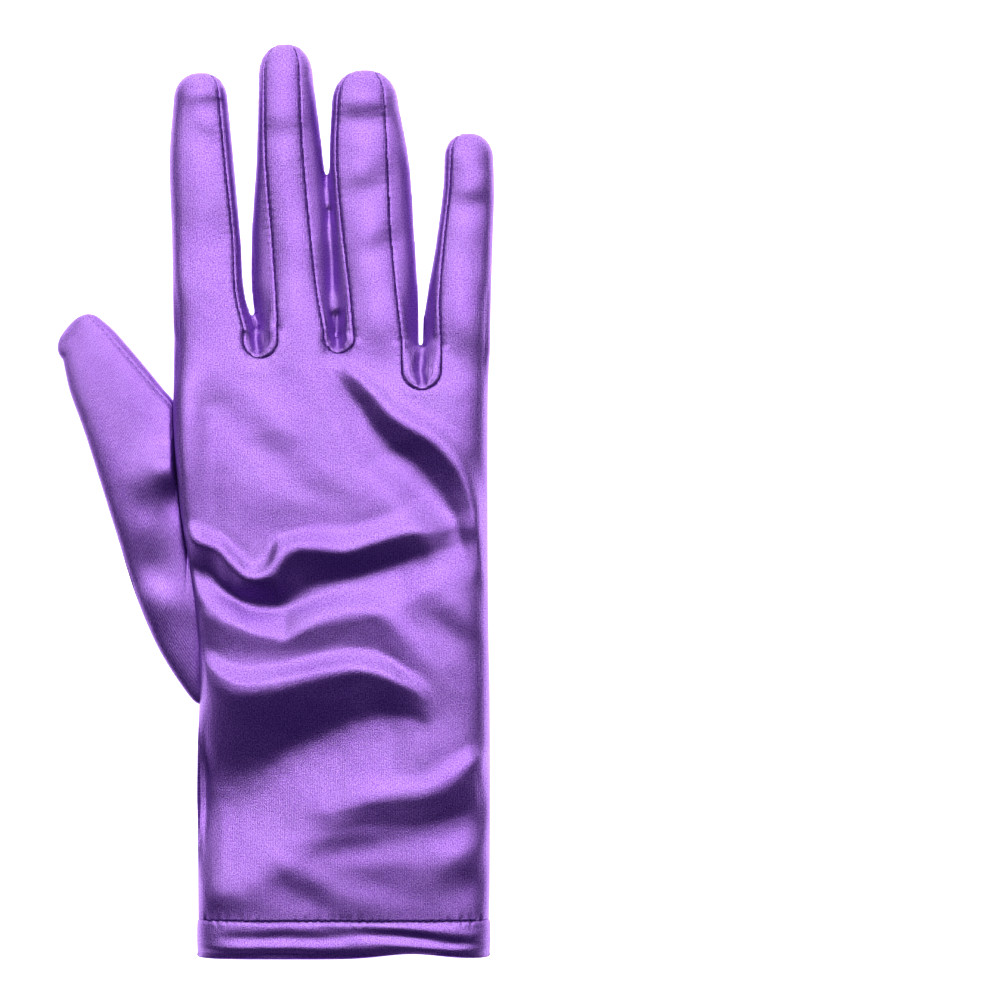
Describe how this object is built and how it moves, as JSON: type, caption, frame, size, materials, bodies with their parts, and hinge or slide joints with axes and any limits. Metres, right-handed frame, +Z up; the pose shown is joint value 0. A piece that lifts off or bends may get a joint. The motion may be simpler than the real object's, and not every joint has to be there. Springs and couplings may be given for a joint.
{
  "type": "wrist length dress glove",
  "caption": "Thin stretch satin dress glove that ends at the wrist, lying palm down, with side strips between its fingers, a sewn-in thumb and a hemmed open cuff.",
  "frame": {"origin": "middle of the glove's footprint, at the height of the surface that it lies on", "axes": "+X towards the little finger's side, +Y from the cuff to the fingertips, +Z up through the back of the hand"},
  "size_m": [0.1104, 0.2306, 0.0145],
  "materials": {
    "satin_cloth": "purple stretch satin, bright on what faces the light and deep purple on what turns away from it"
  },
  "bodies": {
    "root": {"trank": "satin_cloth", "side_strip_index_middle": "satin_cloth", "side_strip_middle_ring": "satin_cloth", "side_strip_ring_little": "satin_cloth", "thumb": "satin_cloth", "cuff_hem": "satin_cloth"}
  },
  "joints": []
}
